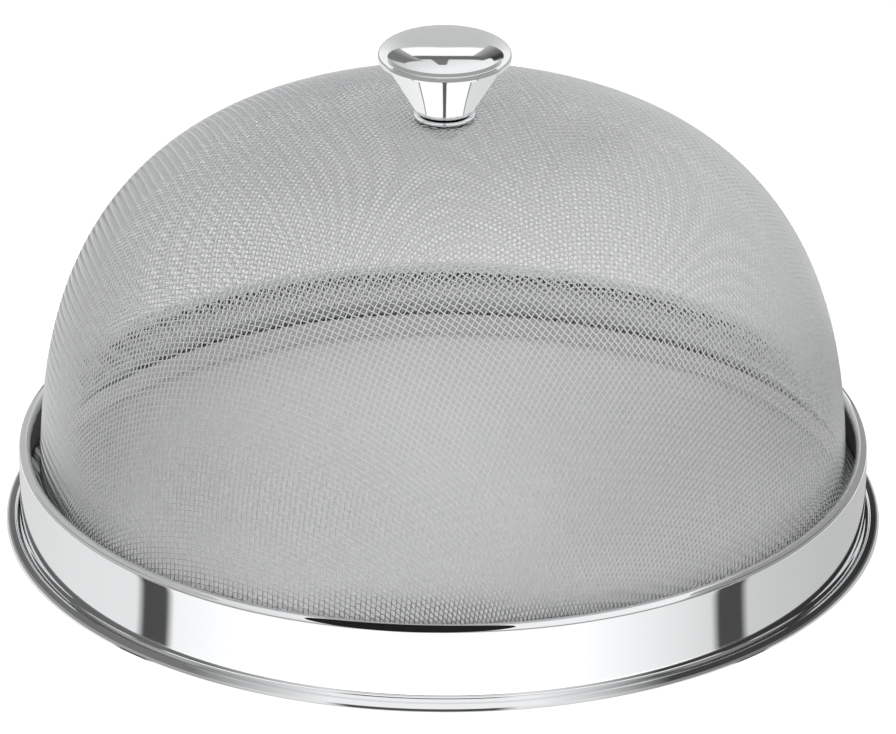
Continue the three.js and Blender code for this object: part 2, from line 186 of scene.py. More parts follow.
def add_node(tree, kind, inputs=(), **settings):
    """Adds one node to a tree. inputs pairs a socket's name or number with a value, or
    with another node's output socket, or with a node, whose first output is then linked."""
    node = tree.nodes.new(kind)
    for key, value in settings.items():
        setattr(node, key, value)
    for socket, value in inputs:
        if isinstance(value, bpy.types.Node):
            value = value.outputs[0]
        if isinstance(value, bpy.types.NodeSocket):
            tree.links.new(value, node.inputs[socket])
        else:
            node.inputs[socket].default_value = value
    return node


def metal(name, hex_colour, roughness):
    """A bare metal: all its light is reflected, tinted by its colour."""
    material = bpy.data.materials.new(name)
    material.use_nodes = True
    shader = material.node_tree.nodes["Principled BSDF"]
    shader.inputs["Base Color"].default_value = linear(hex_colour)
    shader.inputs["Metallic"].default_value = 1.0
    shader.inputs["Roughness"].default_value = roughness
    return material, material.node_tree, shader


print("middle grey in linear light:", round(linear("#808080")[0], 3))

# %% [markdown]
# ### Wire and bar
#
# Bright drawn stainless wire is AISI 304: the die leaves it smooth but not mirror-like, so
# each wire shows a soft streak of the light round it. Its drawing lines are far finer than
# one pixel, so it needs no pattern. The core wire, the boss and the wide washer are turned
# or cut from bright bar that no one polishes.

# %% Drawn wire and turned bar
drawn_wire, _, _ = metal("Drawn stainless wire", "#DEDFE0", 0.32)
plain_bar, _, _ = metal("Turned stainless bar", "#C9CACB", 0.24)
print("materials:", drawn_wire.name, "and", plain_bar.name)

# %% [markdown]
# ### Polished sheet
#
# The band and the knob are stainless sheet, polished on a buffing wheel to a mirror. The
# wheel ran round the band and left marks along it about 0.4 mm apart, which only blur a
# reflection a little. So the marks steer the roughness, and the surface stays smooth.
#
# No wheel reaches the band's inside. There the sheet is as it was rolled, with painted
# shade on it: darker towards the upper bead, and darker still at the left and right, where
# the pocket between the band and the cloth lies in shade.

# %% Mirror polish outside, rolled sheet with painted shade inside
POLISHED = "#E6E7E8"
BUFFING_MARKS = (24.0, 260.0, 1.0)  # in one turn, and along the profile
INSIDE_RADIUS = 144.65  # just within the middle of the band's sheet
INSIDE_TOP = 27.2  # under the upper bead
# painted shade: the band's inside is painted darker upwards from 18 mm to 25 mm, under the upper bead
BEAD_SHADE = (18.0, 25.0)  # from where it starts to where it is full
# painted shade: the band's inside is painted dark at the left and right, fading out from 60 to 105 mm to
# the front or back
SIDE_SHADE = (60.0, 105.0)  # how far to the front or back it is dark, and where that ends
ROLLED_ROUGHNESS = 0.5

polished_sheet, tree, shader = metal("Mirror-polished stainless sheet", POLISHED, 0.05)
flat = add_node(tree, "ShaderNodeUVMap", uv_map="OFBake")
marks_place = add_node(tree, "ShaderNodeMapping", [("Vector", flat), ("Scale", BUFFING_MARKS)])
marks = add_node(tree, "ShaderNodeTexNoise", [("Vector", marks_place), ("Scale", 1.0), ("Detail", 3.0)])
blur = add_node(
    tree, "ShaderNodeMapRange",
    [("Value", marks.outputs["Fac"]), ("To Min", 0.03), ("To Max", 0.08)],
)
here = add_node(tree, "ShaderNodeTexCoord").outputs["Object"]
spread = add_node(tree, "ShaderNodeSeparateXYZ", [("Vector", here)])
flattened = add_node(
    tree, "ShaderNodeVectorMath", [(0, here), (1, (1.0, 1.0, 0.0))], operation="MULTIPLY"
)
radius = add_node(tree, "ShaderNodeVectorMath", [(0, flattened)], operation="LENGTH").outputs["Value"]
near_axis = add_node(
    tree, "ShaderNodeMath", [(0, radius), (1, INSIDE_RADIUS * MM)], operation="LESS_THAN"
)
under_bead = add_node(
    tree, "ShaderNodeMath", [(0, spread.outputs["Z"]), (1, INSIDE_TOP * MM)], operation="LESS_THAN"
)
inside = add_node(tree, "ShaderNodeMath", [(0, near_axis), (1, under_bead)], operation="MULTIPLY")
finish = add_node(
    tree, "ShaderNodeMix", [(0, inside), (2, blur), (3, ROLLED_ROUGHNESS)], data_type="FLOAT"
)
tree.links.new(finish.outputs[0], shader.inputs["Roughness"])

# painted shade under the upper bead: the rolled tint #D2D2D1 darkens to #5C5C5C
bead_shade = add_node(
    tree, "ShaderNodeMapRange",
    [
        ("Value", spread.outputs["Z"]), ("From Min", BEAD_SHADE[0] * MM), ("From Max", BEAD_SHADE[1] * MM),
        ("To Min", 0.0), ("To Max", 1.0),
    ],
    interpolation_type="SMOOTHSTEP",
)
rolled_tint_and_bead_shade = add_node(
    tree, "ShaderNodeMix",
    [(0, bead_shade), (6, linear("#D2D2D1")), (7, linear("#5C5C5C"))], data_type="RGBA",
)
# painted shade at the left and right of the band's inside, mixed towards #4A4A4A
depth = add_node(tree, "ShaderNodeMath", [(0, spread.outputs["Y"])], operation="ABSOLUTE")
sides = add_node(
    tree, "ShaderNodeMapRange",
    [
        ("Value", depth), ("From Min", SIDE_SHADE[0] * MM), ("From Max", SIDE_SHADE[1] * MM),
        ("To Min", 1.0), ("To Max", 0.0),
    ],
    interpolation_type="SMOOTHSTEP",
)
side_shaded = add_node(
    tree, "ShaderNodeMix",
    [(0, sides), (6, rolled_tint_and_bead_shade.outputs[2]), (7, linear("#4A4A4A"))], data_type="RGBA",
)
tint = add_node(
    tree, "ShaderNodeMix",
    [(0, inside), (6, linear(POLISHED)), (7, side_shaded.outputs[2])], data_type="RGBA",
)
tree.links.new(tint.outputs[2], shader.inputs["Base Color"])
print("material:", polished_sheet.name, "with", len(tree.nodes), "nodes")

# %% [markdown]
# ### Strip and plated steel
#
# The hoop is stainless strip as it leaves the rolling mill: satin, with rolling lines
# along it. The screw and its lock washer are steel with zinc plate, passivated clear: a
# cool grey that is slightly uneven.

# %% Mill finish and zinc plate
ROLLING_LINES = (30.0, 60.0, 1.0)  # in one turn, and along the profile
CLOUDS = 700.0  # patches in a metre: each is about 1.4 mm across

mill_strip, tree, shader = metal("Mill-finish stainless strip", "#AEAEAD", 0.26)
flat = add_node(tree, "ShaderNodeUVMap", uv_map="OFBake")
lines_place = add_node(tree, "ShaderNodeMapping", [("Vector", flat), ("Scale", ROLLING_LINES)])
lines = add_node(tree, "ShaderNodeTexNoise", [("Vector", lines_place), ("Scale", 1.0), ("Detail", 4.0)])
satin = add_node(
    tree, "ShaderNodeMapRange",
    [("Value", lines.outputs["Fac"]), ("To Min", 0.2), ("To Max", 0.34)],
)
tree.links.new(satin.outputs[0], shader.inputs["Roughness"])

zinc_plate, tree, shader = metal("Zinc-plated steel", "#BFC3C8", 0.3)
here = add_node(tree, "ShaderNodeTexCoord").outputs["Object"]
cloudy = add_node(tree, "ShaderNodeTexNoise", [("Vector", here), ("Scale", CLOUDS), ("Detail", 2.0)])
dull = add_node(
    tree, "ShaderNodeMapRange",
    [("Value", cloudy.outputs["Fac"]), ("To Min", 0.22), ("To Max", 0.4)],
)
tree.links.new(dull.outputs[0], shader.inputs["Roughness"])
print("materials:", mill_strip.name, "and", zinc_plate.name)


# %% [markdown]
# ## The cloth
#
# Plain weave: each wire goes over one crossing wire and under the next. The cloth starts
# flat and is drawn over a form, and its wires hardly stretch. So it fits the dome by
# shear: along four lines from the crown the meshes stay square, and between them they
# lean over into narrow diamonds. A grid of meridians and hoops would be easier, but it
# would crowd at the crown and look like a basket.
#
# So each crossing of the flat cloth is moved to the dome by two formulas that were
# fitted to keep the wires' length: how far down the dome it lands, and how far round.

# %% The dome's profile
CLOTH_RADIUS = 137.75  # middle of the cloth at the dome's widest
CLOTH_HEIGHT = 145.65
FULLNESS = 2.85  # 2 is an ellipse; more is squarer at the shoulder
SKIRT_TOP = 20.1
SKIRT_FOOT = 10.6
EDGE_RADIUS = 143.75
EDGE_HEIGHT = 2.8
POINT_SPACING = 0.25

rise = np.linspace(np.pi / 2, 0, 20001)
oval_radius = CLOTH_RADIUS * np.cos(rise) ** (2 / FULLNESS)
oval_height = CLOTH_HEIGHT * np.sin(rise) ** (2 / FULLNESS)
oval = np.stack([oval_radius, oval_height], -1)[oval_height > SKIRT_TOP]
share = np.linspace(0, 1, 200)
joggle_radius = oval[-1, 0] + (EDGE_RADIUS - oval[-1, 0]) * (1 - np.cos(np.pi * share)) / 2
joggle = np.stack([joggle_radius, SKIRT_TOP + (SKIRT_FOOT - SKIRT_TOP) * share], -1)
cloth_line = resample(np.concatenate([oval, joggle, [[EDGE_RADIUS, EDGE_HEIGHT]]]), POINT_SPACING)
cloth_along = np.r_[0, np.cumsum(np.linalg.norm(np.diff(cloth_line, axis=0), axis=1))]
cloth_slope = np.gradient(cloth_line, cloth_along, axis=0)
print(f"cloth from crown to edge: {cloth_along[-1]:.1f} mm")


# %% [markdown]
# ### The weave
#
# Each wire is a square tube with one ring of corners at each crossing. A round tube would
# look the same at this size and cost three times the faces. The tube is made a little
# wider than the wire, so that it covers as much as a round one does.

# %% Wires of the cloth
PITCH = 1.9  # from one wire's middle to the next
WIRE = 0.42
WIRE_SIDES = 4
TUBE_SHARE = 1.11  # a square tube this wide shows as much as a round wire
TURNED = np.radians(-30)  # how the weave lies, seen from above
SCREW_HOLE = 3.4  # wires part round the screw
DRAWN_OVER = 200.0  # how far from the crown the two shares below are meant
LONGER, LONGER_POWER = 0.13, 1.9
ROUND, ROUND_POWER = 0.10, 2.8


def on_dome(x, y):
    """Where a point of the flat cloth lands. With rho and phi its distance and angle from
    the crown and t = rho / 200 mm, it lands rho (1 + 0.13 t^1.9 sin^2 2 phi) down the
    profile, at the angle phi + 0.10 t^2.8 sin 4 phi. Gives its place, the outward
    normal there, and how far down the profile it is."""
    rho, phi = np.hypot(x, y), np.arctan2(y, x)
    t = rho / DRAWN_OVER
    down = rho * (1 + LONGER * t ** LONGER_POWER * np.sin(2 * phi) ** 2)
    a = phi + ROUND * t ** ROUND_POWER * np.sin(4 * phi) + TURNED
    r, z = (np.interp(down, cloth_along, cloth_line[:, k]) for k in (0, 1))
    out, up = (np.interp(down, cloth_along, cloth_slope[:, k]) for k in (0, 1))
    place = np.stack([r * np.cos(a), r * np.sin(a), z], -1)
    normal = np.stack([-up * np.cos(a), -up * np.sin(a), out], -1)
    return place, normal / np.linalg.norm(normal, axis=-1, keepdims=True), down


def wires(name, lines, over):
    """Wires of the flat cloth, one for each number in lines: along x if over is 0, along y
    if it is 1. At crossing i of wire j the wire stands half its thickness outside the
    cloth if i + j + over is even, else inside. Its tube has one ring of corners at each
    crossing, at place + radius (normal cos q + side sin q)."""
    reach = int(cloth_along[-1] / PITCH) + 2
    i = np.arange(-reach, reach + 1)
    ii, jj = np.meshgrid(i, lines, indexing="xy")
    x, y = (ii * PITCH, jj * PITCH) if over == 0 else (jj * PITCH, ii * PITCH)
    place, normal, down = on_dome(x, y)
    lift = np.where((ii + jj + over) % 2 == 0, 0.5, -0.5) * WIRE
    middle = place + lift[..., None] * normal
    inside = (down <= cloth_along[-1]) & (np.hypot(x, y) > SCREW_HOLE)
    forward = np.gradient(place, axis=1)
    side = np.cross(normal, forward)
    length = np.linalg.norm(side, axis=-1, keepdims=True)
    side /= np.where(length > 0, length, 1)  # past the edge the crossings fall together
    q = (np.arange(WIRE_SIDES) + 0.5) / WIRE_SIDES * TURN
    radius = TUBE_SHARE * WIRE / 2
    rings = middle[..., None, :] + radius * (
        normal[..., None, :] * np.cos(q)[:, None] + side[..., None, :] * np.sin(q)[:, None]
    )
    number = np.arange(ii.size).reshape(ii.shape) * WIRE_SIDES
    joined = inside[:, :-1] & inside[:, 1:]
    first, second = number[:, :-1][joined][:, None], number[:, 1:][joined][:, None]
    k = np.arange(WIRE_SIDES)
    k2 = (k + 1) % WIRE_SIDES
    tubes = np.stack([first + k, second + k, second + k2, first + k2], -1).reshape(-1, 4)
    before = np.pad(joined, ((0, 0), (1, 0)))
    after = np.pad(joined, ((0, 0), (0, 1)))
    starts = number[after & ~before][:, None] + k
    ends = number[before & ~after][:, None] + k[::-1]
    faces = np.concatenate([tubes, starts, ends])
    return set_mesh(name, rings.reshape(-1, 3), faces.ravel(), np.full(len(faces), 4))


def finish_piece(piece, material, slot, *nodes):
    """Gives a piece its material, its place on the body and the solids that it replaces."""
    piece.data.materials.clear()
    piece.data.materials.append(material)
    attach(piece, "root")
    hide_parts(*nodes)
    print(f"{piece.name}: {len(piece.data.polygons)} faces, {material.name}")


half_count = int(cloth_along[-1] / PITCH) + 2
weave = {
    "weft_wires_near": (np.arange(-half_count, 0), 0),
    "weft_wires_far": (np.arange(0, half_count + 1), 0),
    "warp_wires_left": (np.arange(-half_count, 0), 1),
    "warp_wires_right": (np.arange(0, half_count + 1), 1),
}
for name, (lines, over) in weave.items():
    finish_piece(wires(name, lines, over), drawn_wire, "wire_cloth", "mesh_dome")


# %% [markdown]
# ## The rim
#
# The band is one strip of sheet. Its top is curled inwards into a hollow bead, and its
# foot steps out and is curled outwards round a core wire, as a tinsmith does it. The
# cloth's edge stands inside, held by a hoop that is spot-welded through it.

# %% The band
SHEET = 0.6
LOWER_BEAD = (147.7, 2.3)
LOWER_ROLL = 2.0
UPPER_BEAD = (143.0, 28.5)
UPPER_ROLL = 1.7
BAND_MIDDLE = 144.7
FLARE_TOP = 5.7
BAND_SIDES = 360

upper_curl = arc(UPPER_BEAD, UPPER_ROLL, 292, 0, 40)
wall_height = np.linspace(UPPER_BEAD[1], FLARE_TOP, 14)[1:-1]
wall = np.stack([np.full_like(wall_height, BAND_MIDDLE), wall_height], -1)
step = np.linspace(0, 1, 16)
flare_radius = BAND_MIDDLE + (LOWER_BEAD[0] - LOWER_ROLL - BAND_MIDDLE) * (1 - np.cos(np.pi * step)) / 2
flare = np.stack([flare_radius, FLARE_TOP + (LOWER_BEAD[1] - FLARE_TOP) * step], -1)
lower_curl = arc(LOWER_BEAD, LOWER_ROLL, 180, 495, 44)[1:]
band_line = np.concatenate([upper_curl, wall, flare, lower_curl])
band = revolve("rolled_band", sheet(band_line, SHEET), BAND_SIDES)
finish_piece(band, polished_sheet, "polished_sheet", "rim_band")

# %% The hoop that clamps the cloth
HOOP_RADIUS = 142.8
HOOP = (2.0, 10.0)  # its lower and upper edge
HOOP_SIDES = 1440
WELDS = 16
DIMPLE = 0.12
DIMPLE_REACH = 1.1


def weld_dimples(a, r, z):
    """Each spot weld presses the hoop 0.12 mm outwards over a round 3 mm wide: the dent is
    0.12 exp(-(d / 1.1 mm)^2), where d is the distance from the weld's middle."""
    near = (a * WELDS / TURN + 0.5) % 1 - 0.5
    d = np.hypot(near * TURN / WELDS * HOOP_RADIUS, z - np.mean(HOOP))
    return DIMPLE * np.exp(-((d / DIMPLE_REACH) ** 2))


hoop_height = np.linspace(HOOP[0] + SHEET / 2, HOOP[1] - SHEET / 2, 17)
hoop_line = np.stack([np.full_like(hoop_height, HOOP_RADIUS), hoop_height], -1)
hoop = revolve("clamping_hoop", sheet(hoop_line, SHEET), HOOP_SIDES, weld_dimples)
finish_piece(hoop, mill_strip, "bright_steel", "rim_hoop")


# %% [markdown]
# ## The knob
#
# The knob is hollow, of two pressings. The lower one is a cone whose mouth is turned out
# into a flange, and the upper one is a cap whose edge is crimped under that flange. A
# disc under the foot spreads the load on the cloth.

# %% The cone
KNOB_SHEET = 0.5
BORE = 2.8
FOOT = 148.25  # middle of the cone's floor
CONE_FOOT = 9.05
CONE_MOUTH = 20.05
FLANGE = 167.2
FLANGE_END = 21.4
MOUTH_DROP = 0.5  # how far below the flange the straight side would end
FOOT_BEND = 1.3
TOP_BEND = 0.8
TOP_BEND_OUT = 0.75  # from the mouth to the bend's centre
CONE_SPACING = 0.3
KNOB_SIDES = 160

lean = np.array([CONE_MOUTH - CONE_FOOT, FLANGE - MOUTH_DROP - FOOT])
lean_degrees = np.degrees(np.arctan2(lean[1], lean[0]))
bend_back = FOOT_BEND / np.tan(np.radians(180 - lean_degrees) / 2)
foot_bend = arc((CONE_FOOT - bend_back, FOOT + FOOT_BEND), FOOT_BEND, -90, lean_degrees - 90, 10)
top_bend = arc((CONE_MOUTH + TOP_BEND_OUT, FLANGE - TOP_BEND), TOP_BEND, 90 + lean_degrees, 90, 8)
cone_line = np.concatenate([[[BORE, FOOT]], foot_bend, top_bend, [[FLANGE_END, FLANGE]]])
cone = revolve("knob_cone", sheet(resample(cone_line, CONE_SPACING), KNOB_SHEET), KNOB_SIDES)
finish_piece(cone, polished_sheet, "polished_sheet", "knob_body")

# %% The cap
CAP_RADIUS = 21.95
CAP_RISE = 5.75
CAP_FULLNESS = 2.4
CAP_SIDES = 200
LIP = 166.4
LIP_END = 20.6
HEM = 0.45
HEM_TOP = 167.7
CAP_SPACING = 0.25

rise = np.linspace(np.pi / 2, 0, 400)
crown_radius = CAP_RADIUS * np.cos(rise) ** (2 / CAP_FULLNESS)
crown_radius[0] = 0
crown = np.stack([crown_radius, HEM_TOP + CAP_RISE * np.sin(rise) ** (2 / CAP_FULLNESS)], -1)
hem = arc((CAP_RADIUS - HEM, LIP + HEM), HEM, 0, -90, 8)
cap_line = resample(np.concatenate([crown, hem, [[LIP_END, LIP]]]), CAP_SPACING)
cap = revolve("knob_cap_pressing", sheet(cap_line, KNOB_SHEET, on_axis=True), CAP_SIDES)
finish_piece(cap, polished_sheet, "polished_sheet", "knob_cap")

# %% The disc under the foot
COLLAR_RADIUS = 10.2
COLLAR = (146.3, 147.7)  # its lower and upper face
COLLAR_ROUND = 0.5
BORE_ROUND = 0.1
COLLAR_SIDES = 120

collar_outline = np.concatenate([
    arc((BORE + BORE_ROUND, COLLAR[1] - BORE_ROUND), BORE_ROUND, 90, 180, 3),
    arc((BORE + BORE_ROUND, COLLAR[0] + BORE_ROUND), BORE_ROUND, 180, 270, 3),
    arc((COLLAR_RADIUS - COLLAR_ROUND, COLLAR[0] + COLLAR_ROUND), COLLAR_ROUND, 270, 360, 6),
    arc((COLLAR_RADIUS - COLLAR_ROUND, COLLAR[1] - COLLAR_ROUND), COLLAR_ROUND, 0, 90, 6),
])
collar = revolve("knob_foot_disc", collar_outline, COLLAR_SIDES)
finish_piece(collar, polished_sheet, "polished_sheet", "knob_collar")

# %% Fastening inside the crown
# These solids are seen only from below, and stay as they are with a finish of their own.
fastening = {
    "rim_wire": plain_bar,
    "knob_boss": plain_bar,
    "inner_washer": plain_bar,
    "lock_washer": zinc_plate,
    "knob_screw": zinc_plate,
}
for node, material in fastening.items():
    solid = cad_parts[node]
    solid.data.materials.clear()
    solid.data.materials.append(material)
print("finished solids:", ", ".join(fastening))


# %% [markdown]
# ## The studio
#
# Polished steel has no colour of its own: it shows the room. So the room is built like a
# photographer's: a pale floor, a white tent that is dimmer on the left and behind, and
# two lamps. The large one gives the floor its even light. The small one stands in the
# camera's own direction, so the shadow that the dome throws lies where the dome hides it:
# the floor is white beside the dome and grey where it is seen through the cloth. Under the
# dome that grey is partly painted shade on the floor.

# %% Camera
AIM = Vector((1.571, 0.0, 54.289)) * MM
DISTANCE = 1700 * MM
ELEVATION = np.radians(24.825)
ROLL = np.radians(0.278)
FOCUS_PIXELS = 4991.9
PICTURE_WIDTH = 896
SENSOR = 36.0

forward = Vector((0.0, np.cos(ELEVATION), -np.sin(ELEVATION)))
right = Vector((1.0, 0.0, 0.0))
up = Vector((0.0, np.sin(ELEVATION), np.cos(ELEVATION)))
tilted_right = right * np.cos(ROLL) + up * np.sin(ROLL)
tilted_up = up * np.cos(ROLL) - right * np.sin(ROLL)
camera_data = bpy.data.cameras.new("Camera")
camera_data.sensor_width = SENSOR
camera_data.lens = FOCUS_PIXELS / PICTURE_WIDTH * SENSOR
camera_data.clip_start = 0.1
camera_data.clip_end = 100.0
camera = bpy.data.objects.new("camera", camera_data)
bpy.context.scene.collection.objects.link(camera)
axes = Matrix((tilted_right, tilted_up, -forward)).transposed().to_4x4()
camera.matrix_world = Matrix.Translation(AIM - DISTANCE * forward) @ axes
bpy.context.scene.camera = camera
bpy.context.scene.view_settings.view_transform = "Standard"
print(f"camera lens {camera_data.lens:.1f} mm, {DISTANCE:.2f} m away")

# %% [markdown]
# ### The floor
#
# The floor is pale paper. Outside the rim it glows a little for the rays that see it straight
# or mirrored, so that the background is white. Under the dome the paper is painted greyer and
# does not glow: painted shade, so the wires in front of it stand out as lighter than what is
# behind them. From below the paper is clear, so that the underside can be looked at.

# %% Pale paper
FLOOR_HALF = 4000.0
FLOOR_GLOW = 0.225
GLOW_FROM = 147.9  # just outside where the lower bead stands

pale_floor = bpy.data.materials.new("Pale studio paper")
pale_floor.use_nodes = True
tree = pale_floor.node_tree
tree.nodes.clear()
seen = add_node(tree, "ShaderNodeLightPath").outputs
mirrored = add_node(
    tree, "ShaderNodeMath",
    [(0, seen["Is Glossy Ray"]), (1, seen["Is Transmission Ray"])], operation="MAXIMUM",
)
plain_ray = add_node(
    tree, "ShaderNodeMath", [(0, seen["Is Camera Ray"]), (1, mirrored)], operation="MAXIMUM"
)
here = add_node(tree, "ShaderNodeTexCoord").outputs["Object"]
from_middle = add_node(tree, "ShaderNodeVectorMath", [(0, here)], operation="LENGTH").outputs["Value"]
outside = add_node(
    tree, "ShaderNodeMath", [(0, from_middle), (1, GLOW_FROM * MM)], operation="GREATER_THAN"
)
# painted shade: inside the rim the paper is painted grey (#BEBEBE) instead of pale (#E4E4E4)
paper = add_node(
    tree, "ShaderNodeMix",
    [(0, outside), (6, linear("#BEBEBE")), (7, linear("#E4E4E4"))], data_type="RGBA",
)
paint = add_node(tree, "ShaderNodeBsdfDiffuse", [("Color", paper.outputs[2])])
glows = add_node(tree, "ShaderNodeMath", [(0, plain_ray), (1, outside)], operation="MULTIPLY")
strength = add_node(tree, "ShaderNodeMath", [(0, glows), (1, FLOOR_GLOW)], operation="MULTIPLY")
glow = add_node(tree, "ShaderNodeEmission", [("Color", linear("#FFFFFF")), ("Strength", strength)])
both = add_node(tree, "ShaderNodeAddShader", [(0, paint), (1, glow)])
clear = add_node(tree, "ShaderNodeBsdfTransparent")
side = add_node(tree, "ShaderNodeNewGeometry").outputs["Backfacing"]
from_above = add_node(tree, "ShaderNodeMixShader", [(0, side), (1, both), (2, clear)])
add_node(tree, "ShaderNodeOutputMaterial", [("Surface", from_above)])


def stage_mesh(name, places, material):
    """A grid of places in mm, rows by columns by 3, as one sheet of quads. Its face looks
    to the side from which the columns turn anticlockwise into the rows."""
    rows, columns = places.shape[:2]
    i, k = np.meshgrid(np.arange(rows - 1), np.arange(columns - 1), indexing="ij")
    first = (i * columns + k).ravel()
    quads = np.stack([first, first + 1, first + columns + 1, first + columns], -1)
    piece = set_mesh(name, places.reshape(-1, 3).astype(float), quads.ravel(), np.full(len(quads), 4))
    piece.data.materials.append(material)
    return piece


h = FLOOR_HALF
floor_corners = np.array([[(-h, -h, 0), (h, -h, 0)], [(-h, h, 0), (h, h, 0)]])
stage_mesh("studio_floor", floor_corners, pale_floor)
print(f"pale floor, {2 * h * MM:.0f} m wide")

# %% [markdown]
# ### The tent
#
# The tent is the world's own light. It is brightest to the right, in front and above. Low
# down it ends and the room behind it shows, brightest in front. The camera sees plain
# white instead, and matt paper gets less of it, so that shadows keep some depth.

# %% White tent
BRIGHT_SIDE = (0.75, -0.52, 0.41)
TENT_ON_PAPER = 0.29

world = bpy.data.worlds.new("White tent")
bpy.context.scene.world = world
world.use_nodes = True
tree = world.node_tree
tree.nodes.clear()
toward = add_node(tree, "ShaderNodeTexCoord").outputs["Generated"]
facing = add_node(tree, "ShaderNodeVectorMath", [(0, toward), (1, BRIGHT_SIDE)], operation="DOT_PRODUCT")
level = add_node(
    tree, "ShaderNodeMapRange",
    [
        ("Value", facing.outputs["Value"]), ("From Min", -0.7), ("From Max", 0.45),
        ("To Min", 0.62), ("To Max", 1.09),
    ],
    interpolation_type="SMOOTHSTEP",
)
parts = add_node(tree, "ShaderNodeSeparateXYZ", [("Vector", toward)])
low = add_node(
    tree, "ShaderNodeMapRange",
    [
        ("Value", parts.outputs["Z"]), ("From Min", 0.05), ("From Max", 0.13),
        ("To Min", 0.0), ("To Max", 1.0),
    ],
    interpolation_type="SMOOTHSTEP",
)
ahead = add_node(
    tree, "ShaderNodeMapRange",
    [
        ("Value", parts.outputs["Y"]), ("From Min", -0.9), ("From Max", -0.4),
        ("To Min", 0.45), ("To Max", 0.16),
    ],
    interpolation_type="SMOOTHSTEP",
)
room = add_node(tree, "ShaderNodeMix", [(0, low), (2, ahead), (3, level)], data_type="FLOAT")
seen = add_node(tree, "ShaderNodeLightPath").outputs
on_paper = add_node(
    tree, "ShaderNodeMath", [(0, seen["Is Diffuse Ray"]), (1, 1 - TENT_ON_PAPER)], operation="MULTIPLY"
)
kept_light = add_node(tree, "ShaderNodeMath", [(0, 1.0), (1, on_paper)], operation="SUBTRACT")
tent_level = add_node(tree, "ShaderNodeMath", [(0, room), (1, kept_light)], operation="MULTIPLY")
tent = add_node(tree, "ShaderNodeBackground", [("Color", linear("#FFFFFF")), ("Strength", tent_level)])
backdrop = add_node(tree, "ShaderNodeBackground", [("Color", linear("#FFFFFF")), ("Strength", 1.0)])
mixed = add_node(tree, "ShaderNodeMixShader", [(0, seen["Is Camera Ray"]), (1, tent), (2, backdrop)])
add_node(tree, "ShaderNodeOutputWorld", [("Surface", mixed)])
print("white tent with", len(tree.nodes), "nodes")

# %% [markdown]
# ### The lamps
#
# Both are round area lamps that reflections leave out, so that they put no hard patch on
# the beads. The paper lamp is small and far, which gives its shadow a sharp edge.

# %% Softbox and paper lamp
PAPER_LAMP_AWAY = 3000 * MM
PAPER_LAMP_RISE = np.radians(0.8)  # above the camera's own direction


def round_lamp(name, data_name, place, aim, width, watts):
    """A disk lamp at a place, turned so that its light falls on the aim."""
    light = bpy.data.lights.new(data_name, "AREA")
    light.shape = "DISK"
    light.size = width
    light.energy = watts
    lamp = bpy.data.objects.new(name, light)
    lamp.location = place
    lamp.rotation_euler = (aim - place).to_track_quat("-Z", "Y").to_euler()
    lamp.visible_glossy = False
    bpy.context.scene.collection.objects.link(lamp)
    print(f"{name}: {watts:.0f} W, {width:.2f} m wide")


round_lamp("softbox", "Softbox", Vector((-0.7, -0.9, 1.6)), Vector((0, 0, 0)), width=1.2, watts=12.0)
steep = ELEVATION + PAPER_LAMP_RISE
paper_lamp_place = AIM + PAPER_LAMP_AWAY * Vector((0.0, -np.cos(steep), np.sin(steep)))
round_lamp("paper_lamp", "Paper lamp", paper_lamp_place, AIM, width=0.12, watts=184.0)


# %% [markdown]
# ## Boards
#
# Boards are the trick of the trade for bright metal, because it looks flat and empty until
# it has a few dark edges to mirror. These are seen only in reflections, so they light
# nothing that is matt and cast no shadow.
#
# A ray that meets the upright band at the angle b from the front leaves at 2 b, and comes
# down on the floor a few centimetres out. So a fan of paper on the floor, shaded by b,
# paints the band: white in front, two dark stripes with soft edges, and grey at the sides.
# The cone of the knob leans out and mirrors what lies round its foot, so it gets a ring of
# white paper with three thin dark strips. The cap mirrors the sky behind it, where a white
# window, a rail, a post and two dark corners stand, and two rings of grey paper above and
# below its brim. Narrow rings that face down give the beads their dark lines, because only
# rays from below them meet their face, and three strips follow the upper bead. The wires
# mirror the floor, so a pale sheet lies under the dome and a grey one far out. Two low
# dark boards stand far behind on both sides, because the edge of a round piece mirrors
# what is behind it. Every angle is from the front, to the right.

# %% Shaded paper
BAND_RADIUS = 145.0
STEEL_GIVES_BACK = 0.79  # share of the light; a tone is written as it looks in the metal
STRIP_STEPS = 721

shaded_paper = bpy.data.materials.new("Shaded paper")
shaded_paper.use_nodes = True
tree = shaded_paper.node_tree
tree.nodes.clear()
shade = add_node(tree, "ShaderNodeAttribute", attribute_name="tone").outputs["Color"]
shine = add_node(tree, "ShaderNodeEmission", [("Color", shade), ("Strength", 1 / STEEL_GIVES_BACK)])
clear = add_node(tree, "ShaderNodeBsdfTransparent")
side = add_node(tree, "ShaderNodeNewGeometry").outputs["Backfacing"]
face_only = add_node(tree, "ShaderNodeMixShader", [(0, side), (1, shine), (2, clear)])
add_node(tree, "ShaderNodeOutputMaterial", [("Surface", face_only)])
print("shaded paper shines at", round(1 / STEEL_GIVES_BACK, 2), "times its tone")


def board(name, places, bearings, tones):
    """A sheet of shaded paper that only reflections see. Row i of its places has the
    bearing bearings[i] in degrees, and its tone is read between the pairs of bearing and
    sRGB hex in tones. It shines on its face and is clear from behind."""
    piece = stage_mesh(name, places, shaded_paper)
    greys = np.interp(bearings, [at for at, _ in tones], [linear(tone)[0] for _, tone in tones])
    greys = np.repeat(greys, places.shape[1])
    colours = np.stack([greys, greys, greys, np.ones_like(greys)], -1)
    layer = piece.data.attributes.new("tone", "FLOAT_COLOR", "POINT")
    layer.data.foreach_set("color", colours.astype(np.float32).ravel())
    piece.visible_camera = piece.visible_diffuse = piece.visible_shadow = False
    piece.visible_transmission = piece.visible_volume_scatter = False
    print(f"{name}: {len(piece.data.polygons)} faces")


